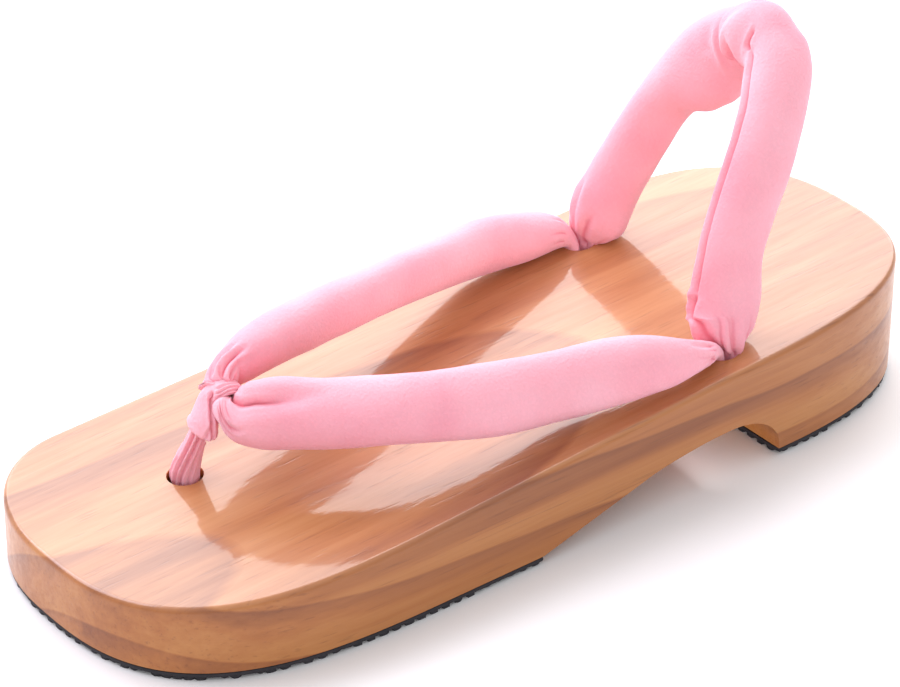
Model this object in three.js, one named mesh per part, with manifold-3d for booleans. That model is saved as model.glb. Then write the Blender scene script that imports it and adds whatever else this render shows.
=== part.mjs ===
// Left geta sandal: a one-piece wooden deck on two rubber pads, with a stuffed V strap,
// a toe strap wrapped over the front of the V, and a stuffed strap behind the heel.
// Millimetres. +X to the toe, +Y to the wearer's left (the outer side), +Z up,
// origin on the floor under the middle of the deck.

import * as THREE from 'three';
import { mergeVertices } from 'three/addons/utils/BufferGeometryUtils.js';
import Module from 'manifold-3d';

const wasm = await Module();
wasm.setup();

// Deck
const deckLength = 240;
const toeHeight = 18.6;
const heelHeight = 34.4;
const edgeRound = 1.4;
const edgeRoundSteps = 3;
const cornerSteps = 22;

// The four corners of the deck's outline, each a quarter of a superellipse: how far it reaches
// along the deck, its half width, how far its tip is off the middle line, and its fullness
const outlineCorners = {
  outerToe: { end: 1, side: 1, reach: 68, halfWidth: 45.6, tipY: -8.3, power: 2.87 },
  outerHeel: { end: -1, side: 1, reach: 75, halfWidth: 43.0, tipY: -1.8, power: 3.0 },
  innerHeel: { end: -1, side: -1, reach: 44, halfWidth: 43.8, tipY: -1.8, power: 2.3 },
  innerToe: { end: 1, side: -1, reach: 28, halfWidth: 45.6, tipY: -8.3, power: 2.16 },
};

// Rubber pads and the arch between them
const padThickness = 2.0;
const meetingGap = 0.3;
const woodBase = padThickness + meetingGap;
const archFront = 14.5;
const archBendStart = -20;
const archBendHeight = 11.4;
const archTop = 13.9;
const archTopX = -46;
const breastX = -61;
const breastFoot = 1;
const padSetBack = 0.2;

// Strap holes. The strap's own centre line runs from the middle of the two rear holes
// to the toe hole, which is turned a little to the inner side.
const toeHole = new THREE.Vector2(78, -10.6);
const rearHolesMiddle = new THREE.Vector2(-52.4, 1.6);
const rearHoleOut = 31.2;
const holeRadius = 4.5;
const holeSides = 28;

// Straps
const tailRadius = 1.7;
const tailOffset = 2.1;
const sectionSides = 16;
const strapClearance = 0.3;
const turnWidth = 6;
const vStrapSteps = 4;
const heelStrapSteps = 5;

// The two arms of the V strap, from the wrapped middle to their tails under the deck. The strap
// leans to the outer side, so the arms differ. along is measured on the strap's own axis, out is
// how far an arm lies to its own side, up is above the deck's top plane. wide and thick are the
// whole section; lean is how far its broad face tips up, in degrees.
const vStrapMiddle = { along: 122.4, out: 4.0, up: 20.4, wide: 4.6, thick: 4.4, lean: 22 };
const vStrapTail = [
  { along: tailOffset, out: 31.2, up: -2.5, wide: 3.4, thick: 3.4, lean: 10 },
  { along: tailOffset, out: 31.2, up: -9.0, wide: 3.4, thick: 3.4, lean: 10 },
  { along: tailOffset, out: 31.2, up: -16.0, wide: 3.0, thick: 3.0, lean: 10 },
  { along: 3.2, out: 31.2, up: -19.2, wide: 5.6, thick: 5.8, lean: 10 },
  { along: 4.2, out: 31.2, up: -20.9, wide: 6.6, thick: 6.8, lean: 10 },
  { along: 5.0, out: 31.2, up: -22.5, wide: 3.6, thick: 3.6, lean: 10 },
];
const vStrapOuterArm = [
  { along: 121.4, out: 7.6, up: 19.4, wide: 5.2, thick: 4.6, lean: 24 },
  { along: 118.6, out: 10.8, up: 18.4, wide: 10.4, thick: 7.2, lean: 27 },
  { along: 113.4, out: 14.8, up: 18.0, wide: 15.8, thick: 10.6, lean: 31 },
  { along: 105.0, out: 20.6, up: 17.8, wide: 16.2, thick: 12.0, lean: 36 },
  { along: 90.0, out: 28.8, up: 17.5, wide: 16.4, thick: 12.3, lean: 36 },
  { along: 70.0, out: 33.5, up: 14.5, wide: 17.2, thick: 12.2, lean: 31 },
  { along: 50.0, out: 33.9, up: 10.8, wide: 16.8, thick: 12.2, lean: 22 },
  { along: 30.0, out: 36.0, up: 9.0, wide: 15.6, thick: 12.4, lean: 16 },
  { along: 14.2, out: 37.2, up: 6.8, wide: 12.0, thick: 12.4, lean: 12 },
  { along: 7.4, out: 34.6, up: 4.6, wide: 8.2, thick: 9.4, lean: 10 },
  { along: 2.6, out: 31.6, up: 1.5, wide: 3.9, thick: 3.9, lean: 10 },
  ...vStrapTail,
];
const vStrapInnerArm = [
  { along: 121.9, out: -1.0, up: 21.2, wide: 5.2, thick: 4.6, lean: 27 },
  { along: 118.8, out: 1.4, up: 21.9, wide: 9.6, thick: 6.6, lean: 31 },
  { along: 113.4, out: 3.8, up: 22.3, wide: 14.6, thick: 10.2, lean: 36 },
  { along: 105.0, out: 6.9, up: 22.2, wide: 15.8, thick: 12.0, lean: 38 },
  { along: 90.0, out: 11.2, up: 20.9, wide: 15.2, thick: 12.4, lean: 36 },
  { along: 70.0, out: 17.7, up: 17.6, wide: 16.2, thick: 11.9, lean: 31 },
  { along: 50.0, out: 24.3, up: 13.5, wide: 16.9, thick: 11.9, lean: 26 },
  { along: 30.0, out: 30.4, up: 9.7, wide: 16.0, thick: 12.2, lean: 20 },
  { along: 14.8, out: 32.2, up: 6.7, wide: 12.4, thick: 12.6, lean: 12 },
  { along: 7.4, out: 32.4, up: 4.7, wide: 8.8, thick: 9.8, lean: 10 },
  { along: 2.6, out: 31.6, up: 1.5, wide: 3.9, thick: 3.9, lean: 10 },
  ...vStrapTail,
];

// The two legs of the heel strap, from the top of its loop to their tails in the same rear holes.
// The loop leans back and to the inner side.
const heelStrapTop = { along: -34.0, out: -2.2, up: 59.6, wide: 17.4, thick: 13.8, lean: 42 };
const heelStrapTail = [
  { along: -2.2, out: 31.0, up: 1.0, wide: 3.8, thick: 3.7, lean: 0 },
  { along: -tailOffset, out: 31.2, up: -2.5, wide: 3.4, thick: 3.4, lean: 0 },
  { along: -tailOffset, out: 31.2, up: -10.0, wide: 3.4, thick: 3.4, lean: 0 },
];
const heelStrapOuterLeg = [
  { along: -31.7, out: 6.4, up: 57.5, wide: 17.2, thick: 13.8, lean: 38 },
  { along: -26.6, out: 12.9, up: 51.7, wide: 17.2, thick: 13.5, lean: 30 },
  { along: -19.8, out: 18.0, up: 43.2, wide: 16.8, thick: 13.1, lean: 20 },
  { along: -13.0, out: 21.4, up: 32.2, wide: 17.2, thick: 13.1, lean: 10 },
  { along: -6.6, out: 24.0, up: 20.2, wide: 17.6, thick: 13.0, lean: 4 },
  { along: -4.4, out: 25.9, up: 11.4, wide: 18.4, thick: 12.8, lean: 0 },
  { along: -3.6, out: 28.1, up: 6.6, wide: 15.6, thick: 10.8, lean: 0 },
  { along: -2.9, out: 30.4, up: 3.0, wide: 9.4, thick: 7.2, lean: 0 },
  ...heelStrapTail,
];
const heelStrapInnerLeg = [
  { along: -34.8, out: 11.4, up: 54.6, wide: 17.3, thick: 13.8, lean: 38 },
  { along: -31.4, out: 20.4, up: 46.3, wide: 17.1, thick: 13.6, lean: 30 },
  { along: -25.3, out: 26.6, up: 36.8, wide: 16.7, thick: 13.1, lean: 20 },
  { along: -18.3, out: 29.7, up: 26.0, wide: 16.9, thick: 13.0, lean: 10 },
  { along: -11.6, out: 30.8, up: 15.2, wide: 16.9, thick: 13.0, lean: 4 },
  { along: -7.0, out: 30.4, up: 8.8, wide: 16.4, thick: 12.2, lean: 0 },
  { along: -4.4, out: 30.2, up: 5.3, wide: 13.6, thick: 10.0, lean: 0 },
  { along: -2.8, out: 30.6, up: 2.8, wide: 8.6, thick: 6.8, lean: 0 },
  ...heelStrapTail,
];

// The toe strap: a stem out of the toe hole and the band that wraps over the V strap.
const toeStem = [
  { along: 130.4, out: 0, up: -11.0, wide: 5.0, thick: 5.0, lean: 0 },
  { along: 130.4, out: 0, up: -3.0, wide: 6.6, thick: 6.6, lean: 0 },
  { along: 130.3, out: 0.2, up: 1.0, wide: 7.8, thick: 7.0, lean: 0 },
  { along: 128.6, out: 1.9, up: 7.6, wide: 8.0, thick: 6.0, lean: 0 },
  { along: 125.4, out: 3.6, up: 16.4, wide: 8.4, thick: 3.6, lean: 0 },
];
const bandRadius = 4.0;
const bandThickness = 2.8;
const bandWidth = 9.0;

const lacqueredWood = new THREE.MeshStandardMaterial({ color: 0xc8925f, roughness: 0.28, metalness: 0 });
const blackRubber = new THREE.MeshStandardMaterial({ color: 0x262427, roughness: 0.9, metalness: 0 });
const pinkCrepe = new THREE.MeshStandardMaterial({ color: 0xf7aebb, roughness: 0.85, metalness: 0 });

const deckSlope = (toeHeight - heelHeight) / deckLength;
const deckTop = (x) => (toeHeight + heelHeight) / 2 + deckSlope * x;

// Turns a closed geometry into a solid that can be joined and cut.
function solidOf(geometry) {
  const bare = new THREE.BufferGeometry();
  bare.setAttribute('position', geometry.getAttribute('position'));
  bare.setIndex(geometry.getIndex());
  const merged = mergeVertices(bare, 1e-4);
  return new wasm.Manifold(new wasm.Mesh({
    numProp: 3,
    vertProperties: new Float32Array(merged.getAttribute('position').array),
    triVerts: new Uint32Array(merged.getIndex().array),
  }));
}

// Turns a solid back into a geometry for a mesh.
function geometryOf(solid) {
  const mesh = solid.getMesh();
  const geometry = new THREE.BufferGeometry();
  geometry.setAttribute('position', new THREE.BufferAttribute(mesh.vertProperties, 3));
  geometry.setIndex(new THREE.BufferAttribute(mesh.triVerts, 1));
  const shaded = geometry.toNonIndexed();
  shaded.computeVertexNormals();
  return shaded;
}

// A quarter of the deck's outline, from its tip on the centre line to its straight side.
function cornerPoints({ end, side, reach, halfWidth, tipY, power }) {
  const depth = halfWidth - side * tipY;
  const points = [];
  for (let i = 0; i <= cornerSteps; i += 1) {
    const angle = (i / cornerSteps) * (Math.PI / 2);
    const x = deckLength / 2 - reach + reach * Math.cos(angle) ** (2 / power);
    const y = tipY + side * depth * Math.sin(angle) ** (2 / power);
    points.push(new THREE.Vector2(end * x, y));
  }
  return points;
}

// The deck's outline seen from above, anticlockwise from the toe tip.
function deckOutline() {
  return [
    ...cornerPoints(outlineCorners.outerToe),
    ...cornerPoints(outlineCorners.outerHeel).reverse(),
    ...cornerPoints(outlineCorners.innerHeel).slice(1),
    ...cornerPoints(outlineCorners.innerToe).reverse().slice(0, -1),
  ];
}

// The outline moved inward by a distance, along each point's own normal.
function insetOutline(points, distance) {
  return points.map((point, i) => {
    const before = points[(i + points.length - 1) % points.length];
    const after = points[(i + 1) % points.length];
    const run = after.clone().sub(before).normalize();
    return new THREE.Vector2(point.x - run.y * distance, point.y + run.x * distance);
  });
}

// Everything under the deck: the space of the pads and the arch, as a prism across the width.
function underDeck() {
  const reach = deckLength;
  const profile = new THREE.Shape();
  profile.moveTo(-reach, -reach);
  profile.lineTo(reach, -reach);
  profile.lineTo(reach, woodBase);
  profile.lineTo(archFront, woodBase);
  profile.lineTo(archBendStart, archBendHeight);
  profile.quadraticCurveTo((archBendStart + archTopX) / 2, archTop, archTopX, archTop);
  const breastReach = archTopX - breastX;
  const breastRise = archTop - woodBase - breastFoot;
  profile.absellipse(archTopX, woodBase + breastFoot, breastReach, breastRise, Math.PI / 2, Math.PI, false);
  profile.lineTo(breastX, woodBase);
  profile.lineTo(-reach, woodBase);
  const prism = new THREE.ExtrudeGeometry(profile, {
    depth: deckLength,
    bevelEnabled: false,
    curveSegments: 12,
  });
  prism.translate(0, 0, -deckLength / 2);
  prism.rotateX(Math.PI / 2);
  return solidOf(prism);
}

// A round hole straight down through the deck.
function strapHole(centre) {
  const hole = new THREE.CylinderGeometry(holeRadius, holeRadius, deckLength, holeSides);
  hole.rotateX(Math.PI / 2);
  hole.translate(centre.x, centre.y, 0);
  return solidOf(hole);
}

// A level prism on the outline whose top edge is rounded and whose top is then sheared
// to the deck's slope, so that the side walls stay upright.
function woodDeck(outline, holes) {
  const inner = insetOutline(outline, edgeRound);
  const levelTop = deckTop(0);
  const prism = new THREE.ExtrudeGeometry(new THREE.Shape(inner), {
    depth: levelTop - 2 * edgeRound,
    bevelSize: edgeRound,
    bevelThickness: edgeRound,
    bevelSegments: edgeRoundSteps,
  });
  prism.translate(0, 0, edgeRound);
  const position = prism.getAttribute('position');
  for (let i = 0; i < position.count; i += 1) {
    const isTop = position.getZ(i) > levelTop / 2;
    const shift = isTop ? deckSlope * position.getX(i) : -2 * edgeRound;
    position.setZ(i, position.getZ(i) + shift);
  }
  let solid = solidOf(prism).subtract(underDeck());
  for (const hole of holes) solid = solid.subtract(strapHole(hole));
  return geometryOf(solid);
}

// A flat rubber pad under the part of the deck between two stations.
function rubberPad(outline, fromX, toX) {
  const whole = new THREE.ExtrudeGeometry(new THREE.Shape(insetOutline(outline, padSetBack)), {
    depth: padThickness,
    bevelEnabled: false,
  });
  const stretch = new THREE.BoxGeometry(toX - fromX, deckLength, deckLength);
  stretch.translate((fromX + toX) / 2, 0, 0);
  return geometryOf(solidOf(whole).intersect(solidOf(stretch)));
}

// Strap axes to the sandal's own: along the strap's centre line, out to a side, up from the deck.
const strapForward = toeHole.clone().sub(rearHolesMiddle).normalize();
const strapOutward = new THREE.Vector2(-strapForward.y, strapForward.x);
function strapPoint(along, out, up) {
  const x = rearHolesMiddle.x + strapForward.x * along + strapOutward.x * out;
  const y = rearHolesMiddle.y + strapForward.y * along + strapOutward.y * out;
  return new THREE.Vector3(x, y, deckTop(x) + up);
}

// A strap's two halves and their shared middle as one list of rows, from the outer tail to the
// inner one. beside is how far a row lies from the strap's own middle.
function bothSides(middle, outerHalf, innerHalf) {
  const outer = outerHalf.slice().reverse();
  const inner = innerHalf.map((row) => ({ ...row, out: -row.out }));
  return [...outer, middle, ...inner].map((row) => ({ ...row, beside: row.out - middle.out }));
}

// The way a strap's broad face looks: out to the strap's own side and up by the row's lean,
// swinging round to the back within the turn width of the strap's middle.
function broadFace(beside, lean, forward) {
  const side = THREE.MathUtils.clamp(beside / turnWidth, -1, 1);
  const level = strapOutward.clone().multiplyScalar(side * Math.cos(lean));
  level.addScaledVector(strapForward, Math.abs(side) - 1);
  const face = new THREE.Vector3(level.x, level.y, Math.sin(lean));
  return face.addScaledVector(forward, -face.dot(forward)).normalize();
}

// One oval section of a strap, square to its run.
function ovalSection(centre, forward, face, wide, thick) {
  const across = new THREE.Vector3().crossVectors(forward, face);
  const rim = [];
  for (let k = 0; k < sectionSides; k += 1) {
    const angle = (k / sectionSides) * Math.PI * 2;
    const point = centre.clone();
    point.addScaledVector(face, (thick / 2) * Math.cos(angle));
    point.addScaledVector(across, (wide / 2) * Math.sin(angle));
    rim.push(...point.toArray());
  }
  return rim;
}

// The triangles that join a run of rims into a closed skin with flat ends.
function skinFaces(rimCount) {
  const faces = [];
  for (let i = 0; i < rimCount - 1; i += 1) {
    for (let k = 0; k < sectionSides; k += 1) {
      const a = i * sectionSides + k;
      const b = i * sectionSides + ((k + 1) % sectionSides);
      faces.push(a, b, b + sectionSides);
      faces.push(a, b + sectionSides, a + sectionSides);
    }
  }
  const last = (rimCount - 1) * sectionSides;
  for (let k = 1; k < sectionSides - 1; k += 1) {
    faces.push(0, k + 1, k);
    faces.push(last, last + k, last + k + 1);
  }
  return faces;
}

// A closed stuffed strap through a table of rows, made larger all round by extra.
function strapLoft(rows, stepsPerRow, extra = 0) {
  const places = rows.map((row) => strapPoint(row.along, row.out, row.up));
  const run = new THREE.CatmullRomCurve3(places, false, 'centripetal');
  const count = (rows.length - 1) * stepsPerRow;
  const vertices = [];
  for (let i = 0; i <= count; i += 1) {
    const row = Math.min(Math.floor(i / stepsPerRow), rows.length - 2);
    const share = i / stepsPerRow - row;
    const mix = (key) => THREE.MathUtils.lerp(rows[row][key], rows[row + 1][key], share);
    const forward = run.getTangent(i / count);
    const face = broadFace(mix('beside'), THREE.MathUtils.degToRad(mix('lean')), forward);
    const centre = run.getPoint(i / count);
    vertices.push(...ovalSection(centre, forward, face, mix('wide') + 2 * extra, mix('thick') + 2 * extra));
  }
  const geometry = new THREE.BufferGeometry();
  geometry.setAttribute('position', new THREE.Float32BufferAttribute(vertices, 3));
  geometry.setIndex(skinFaces(count + 1));
  return solidOf(geometry);
}

// The toe strap's band: a flat ring round the middle of the V strap, leaning with the stem.
function toeBand() {
  const ring = new THREE.TorusGeometry(bandRadius, bandThickness / 2, 12, 32);
  ring.scale(1, 1, bandWidth / bandThickness);
  ring.rotateX(Math.PI / 2);
  ring.rotateZ(Math.atan2(strapForward.y, strapForward.x));
  const centre = strapPoint(vStrapMiddle.along, vStrapMiddle.out, vStrapMiddle.up);
  ring.translate(centre.x, centre.y, centre.z);
  return solidOf(ring);
}

function piece(name, geometry, material) {
  const mesh = new THREE.Mesh(geometry, material);
  mesh.name = name;
  return mesh;
}

const outline = deckOutline();
const rearHole = (side) => rearHolesMiddle.clone().addScaledVector(strapOutward, side * rearHoleOut);
const rearHoles = [rearHole(1), rearHole(-1)];
const vStrapRows = bothSides(vStrapMiddle, vStrapOuterArm, vStrapInnerArm);
const vStrap = strapLoft(vStrapRows, vStrapSteps);
const vStrapSpace = strapLoft(vStrapRows, vStrapSteps, strapClearance);
const heelStrapRows = bothSides(heelStrapTop, heelStrapOuterLeg, heelStrapInnerLeg);
const heelStrap = strapLoft(heelStrapRows, heelStrapSteps).subtract(vStrapSpace);
const toeStemRows = toeStem.map((row) => ({ ...row, beside: 0 }));
const toeStrap = strapLoft(toeStemRows, heelStrapSteps).add(toeBand()).subtract(vStrapSpace);

const geta = new THREE.Group();
geta.add(piece('wood_deck', woodDeck(outline, [toeHole, ...rearHoles]), lacqueredWood));
geta.add(piece('forefoot_pad', rubberPad(outline, archFront, deckLength), blackRubber));
geta.add(piece('heel_pad', rubberPad(outline, -deckLength, breastX), blackRubber));
geta.add(piece('instep_strap', geometryOf(vStrap), pinkCrepe));
geta.add(piece('toe_strap', geometryOf(toeStrap), pinkCrepe));
geta.add(piece('heel_strap', geometryOf(heelStrap), pinkCrepe));

export default geta;
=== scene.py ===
import math

import bpy
import numpy as np
from mathutils import Matrix, Vector, noise


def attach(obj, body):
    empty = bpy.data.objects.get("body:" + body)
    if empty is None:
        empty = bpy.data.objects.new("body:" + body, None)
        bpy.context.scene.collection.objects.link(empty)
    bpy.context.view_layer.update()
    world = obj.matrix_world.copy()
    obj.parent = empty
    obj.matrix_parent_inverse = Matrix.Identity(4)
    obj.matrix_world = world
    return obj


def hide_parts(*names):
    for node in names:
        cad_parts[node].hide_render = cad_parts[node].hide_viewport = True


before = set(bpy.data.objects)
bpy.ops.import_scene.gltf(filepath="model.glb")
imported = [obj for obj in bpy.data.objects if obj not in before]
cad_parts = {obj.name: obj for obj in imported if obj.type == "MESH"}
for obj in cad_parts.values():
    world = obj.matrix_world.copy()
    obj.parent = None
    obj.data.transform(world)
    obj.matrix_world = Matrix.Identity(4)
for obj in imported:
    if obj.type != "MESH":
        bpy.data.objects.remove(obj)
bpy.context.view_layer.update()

mm = 0.001
print("frame loaded, nodes:", ", ".join(sorted(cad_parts)))


cameraSetup = {
    "place": (456.2, 581.0, 477.9),  # mm, out in front of the toe on the outer side
    "looks": (-0.52248, -0.68055, -0.51368),
    "roll": 0.29,  # degrees
    "lens": 143.2,
    "sensor": 36,
    "shift": (0.0065, -0.0070),
    "sees": (0.05, 20),  # metres, nearest and farthest
}


def makeCamera():
    data = bpy.data.cameras.new("studioCamera")
    data.lens = cameraSetup["lens"]
    data.sensor_width = cameraSetup["sensor"]
    data.shift_x, data.shift_y = cameraSetup["shift"]
    data.clip_start, data.clip_end = cameraSetup["sees"]
    camera = bpy.data.objects.new("studioCamera", data)
    bpy.context.scene.collection.objects.link(camera)
    level = Vector(cameraSetup["looks"]).to_track_quat("-Z", "Y")
    roll = Matrix.Rotation(math.radians(cameraSetup["roll"]), 3, "Z").to_quaternion()
    camera.rotation_mode = "QUATERNION"
    camera.rotation_quaternion = level @ roll
    camera.location = Vector(cameraSetup["place"]) * mm
    bpy.context.scene.camera = camera
    print("camera set")


def tone(red, green, blue):
    # a colour from 0 to 255 as it looks on a screen, as the shader wants it
    parts = [c / 255 for c in (red, green, blue)]
    return tuple(c / 12.92 if c < 0.04045 else ((c + 0.055) / 1.055) ** 2.4 for c in parts) + (1,)


studio = {
    "sky": tone(250, 251, 255),
    "skyStrength": 0.95,
    "floor": tone(244, 243, 242),
    "floorReach": 4.0,  # metres from the middle
    "floorRoughness": 0.7,
    # degrees round from the toe, degrees up from the floor, distance m, size m, brightness, tint
    "softboxes": {
        "backSoftbox": (236, 38, 1.25, (1.9, 1.15), 3.15, tone(255, 246, 248)),
        "innerRim": (304, 50, 1.4, (0.9, 0.9), 4.6, tone(245, 240, 255)),
        "outerFill": (75, 42, 1.6, (1.2, 0.9), 0.25, tone(255, 255, 255)),
    },
    # small cards that lift the shaded sides of the inner arm and leg and the heel's breast:
    # place mm, way they face, size mm, spread in degrees, brightness
    "cards": {
        "armCard": ((-4, 10, 34), (0, -1, 0.25), (70, 12), 120, 1.5),
        "legCard": ((-52, 12, 44), (-0.25, -1, 0.15), (34, 34), 120, 0.6),
        "archCard": ((-36, 18, 5), (-1, 0.1, 0.2), (50, 7), 120, 2.3),
    },
}


def addLight(name, size, bright, place, away):
    # a rectangular light, metres; away points from what it lights back to the light
    data = bpy.data.lights.new(name, "AREA")
    data.shape = "RECTANGLE"
    data.size, data.size_y = size
    data.energy = bright * math.pi * size[0] * size[1]
    light = bpy.data.objects.new(name, data)
    light.location = place
    light.rotation_mode = "QUATERNION"
    light.rotation_quaternion = away.to_track_quat("Z", "Y")
    light.visible_camera = False
    bpy.context.scene.collection.objects.link(light)
    return light


def makeStudio():
    scene = bpy.context.scene
    scene.view_settings.view_transform = "Standard"
    scene.view_settings.look = "None"
    world = bpy.data.worlds.new("studioSky")
    world.use_nodes = True
    background = world.node_tree.nodes["Background"]
    background.inputs["Color"].default_value = studio["sky"]
    background.inputs["Strength"].default_value = studio["skyStrength"]
    scene.world = world
    for name, (turn, rise, distance, size, bright, tint) in studio["softboxes"].items():
        turn, rise = math.radians(turn), math.radians(rise)
        away = Vector((math.cos(turn) * math.cos(rise), math.sin(turn) * math.cos(rise), math.sin(rise)))
        light = addLight(name, size, bright, away * distance, away)
        light.data.color = tint[:3]
    for name, (place, facing, size, spread, bright) in studio["cards"].items():
        size = [side * mm for side in size]
        light = addLight(name, size, bright, Vector(place) * mm, -Vector(facing))
        light.data.spread = math.radians(spread)
        light.visible_glossy = False
    print("studio lit with", len(studio["softboxes"]) + len(studio["cards"]), "lights")


def meshPiece(name, points, faces, material, smooth=True):
    mesh = bpy.data.meshes.new(name)
    mesh.from_pydata([tuple(p) for p in points], [], [tuple(f) for f in faces])
    mesh.validate()
    piece = bpy.data.objects.new(name, mesh)
    bpy.context.scene.collection.objects.link(piece)
    mesh.materials.append(material)
    if smooth:
        mesh.shade_smooth()
    return piece


def applyModifiers(piece):
    # swaps the mesh for its finished one, so that nothing is left to evaluate
    graph = bpy.context.evaluated_depsgraph_get()
    finished = bpy.data.meshes.new_from_object(piece.evaluated_get(graph))
    piece.modifiers.clear()
    piece.data = finished


def ease(share):
    share = np.clip(share, 0, 1)
    return share * share * (3 - 2 * share)


class NodeBench:
    # the nodes of one material, with short ways to add and join them
    def __init__(self, material):
        self.tree = material.node_tree
        self.tree.nodes.clear()
        self.output = self.add("ShaderNodeOutputMaterial")
        self.shader = self.add("ShaderNodeBsdfPrincipled")
        self.join(self.shader.outputs["BSDF"], self.output.inputs["Surface"])
        coordinates = self.add("ShaderNodeTexCoord")
        self.place = coordinates.outputs["Object"]
        self.normal = coordinates.outputs["Normal"]

    def add(self, kind, **settings):
        node = self.tree.nodes.new(kind)
        for key, value in settings.items():
            setattr(node, key, value)
        return node

    def join(self, source, target):
        self.tree.links.new(source, target)

    def mapped(self, scale, turn=(0, 0, 0), move=(0, 0, 0)):
        # the object's own place, scaled per metre, turned in degrees
        node = self.add("ShaderNodeMapping")
        self.join(self.place, node.inputs["Vector"])
        node.inputs["Scale"].default_value = scale
        node.inputs["Rotation"].default_value = [math.radians(a) for a in turn]
        node.inputs["Location"].default_value = move
        return node.outputs["Vector"]

    def grainNoise(self, where, scale=1.0, detail=3.0, roughness=0.5, distortion=0.0):
        node = self.add("ShaderNodeTexNoise")
        self.join(where, node.inputs["Vector"])
        node.inputs["Scale"].default_value = scale
        node.inputs["Detail"].default_value = detail
        node.inputs["Roughness"].default_value = roughness
        node.inputs["Distortion"].default_value = distortion
        return node.outputs["Fac"]

    def ramp(self, source, stops):
        node = self.add("ShaderNodeValToRGB")
        self.join(source, node.inputs["Fac"])
        elements = node.color_ramp.elements
        while len(elements) < len(stops):
            elements.new(0.5)
        for element, (position, colour) in zip(elements, stops):
            element.position = position
            element.color = colour if isinstance(colour, tuple) else (colour, colour, colour, 1)
        return node.outputs["Color"]

    def remap(self, source, low, high, outLow=0.0, outHigh=1.0):
        node = self.add("ShaderNodeMapRange")
        self.join(source, node.inputs["Value"])
        limits = {"From Min": low, "From Max": high, "To Min": outLow, "To Max": outHigh}
        for key, value in limits.items():
            node.inputs[key].default_value = value
        return node.outputs["Result"]

    def feed(self, socket, value):
        # a plain value is set on the socket, a node's output is joined to it
        if isinstance(value, (int, float, tuple)):
            socket.default_value = value
        else:
            self.join(value, socket)

    def maths(self, operation, first, second):
        node = self.add("ShaderNodeMath", operation=operation)
        for socket, value in zip(node.inputs, (first, second)):
            self.feed(socket, value)
        return node.outputs["Value"]

    def blend(self, kind, share, first, second):
        node = self.add("ShaderNodeMix", data_type="RGBA", blend_type=kind)
        colours = node.inputs[6], node.inputs[7]  # by number: A and B are there for each kind of value
        for socket, value in zip((node.inputs["Factor"], *colours), (share, first, second)):
            self.feed(socket, value)
        return node.outputs[2]

    def bump(self, height, strength, distance, under=None):
        node = self.add("ShaderNodeBump")
        self.join(height, node.inputs["Height"])
        node.inputs["Strength"].default_value = strength
        node.inputs["Distance"].default_value = distance
        if under is not None:
            self.join(under, node.inputs["Normal"])
        return node.outputs["Normal"]

    def setShader(self, **values):
        # camelCase names to the shader's own sockets
        sockets = {"roughness": "Roughness", "specular": "Specular IOR Level",
                   "coatRoughness": "Coat Roughness", "coatIor": "Coat IOR",
                   "sheen": "Sheen Weight", "sheenRoughness": "Sheen Roughness", "sheenTint": "Sheen Tint",
                   "subsurface": "Subsurface Weight", "subsurfaceRadius": "Subsurface Radius",
                   "subsurfaceScale": "Subsurface Scale"}
        for key, value in values.items():
            self.shader.inputs[sockets[key]].default_value = value


def newMaterial(name):
    material = bpy.data.materials.new(name)
    material.use_nodes = True
    return material, NodeBench(material)


def makeFloor():
    reach = studio["floorReach"]
    corners = [(-reach, -reach, 0), (reach, -reach, 0), (reach, reach, 0), (-reach, reach, 0)]
    material, nodes = newMaterial("paleFloor")
    nodes.shader.inputs["Base Color"].default_value = studio["floor"]
    nodes.shader.inputs["Roughness"].default_value = studio["floorRoughness"]
    floor = meshPiece("studioFloor", corners, [(0, 1, 2, 3)], material, smooth=False)
    print("floor laid")


woodLook = {
    "pale": tone(190, 134, 84),
    "middle": tone(172, 110, 61),
    "dark": tone(136, 79, 42),
    "pore": tone(120, 74, 44),
    "sideShadeTint": tone(249, 236, 200),  # painted shade: the upright sides are darkened to a deeper brown
    "ringsPerMetre": 150,
    "ringTilt": (0, 2.6, -3.4),  # how the rings' centre line lies askew, degrees
    "ringCentre": (0, -0.012, 0.062),
    # how fine each grain is: per metre along the plank, across it and up
    "streaks": (4.5, 75, 75),
    "fibres": (9, 480, 480),
    "pores": (40, 1300, 1300),
    "orangePeel": (160, 420, 420),
    # how much each adds to the tone
    "ringShare": 0.30,
    "streakShare": 0.85,
    "fibreShare": 0.30,
    "poreShare": 0.25,
    "roughness": (0.34, 0.48),
    "coatRoughness": 0.07,
    "coatIor": 1.5,
    "sideCoat": 0.45,  # the lacquer shows less on the upright sides
}


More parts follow.
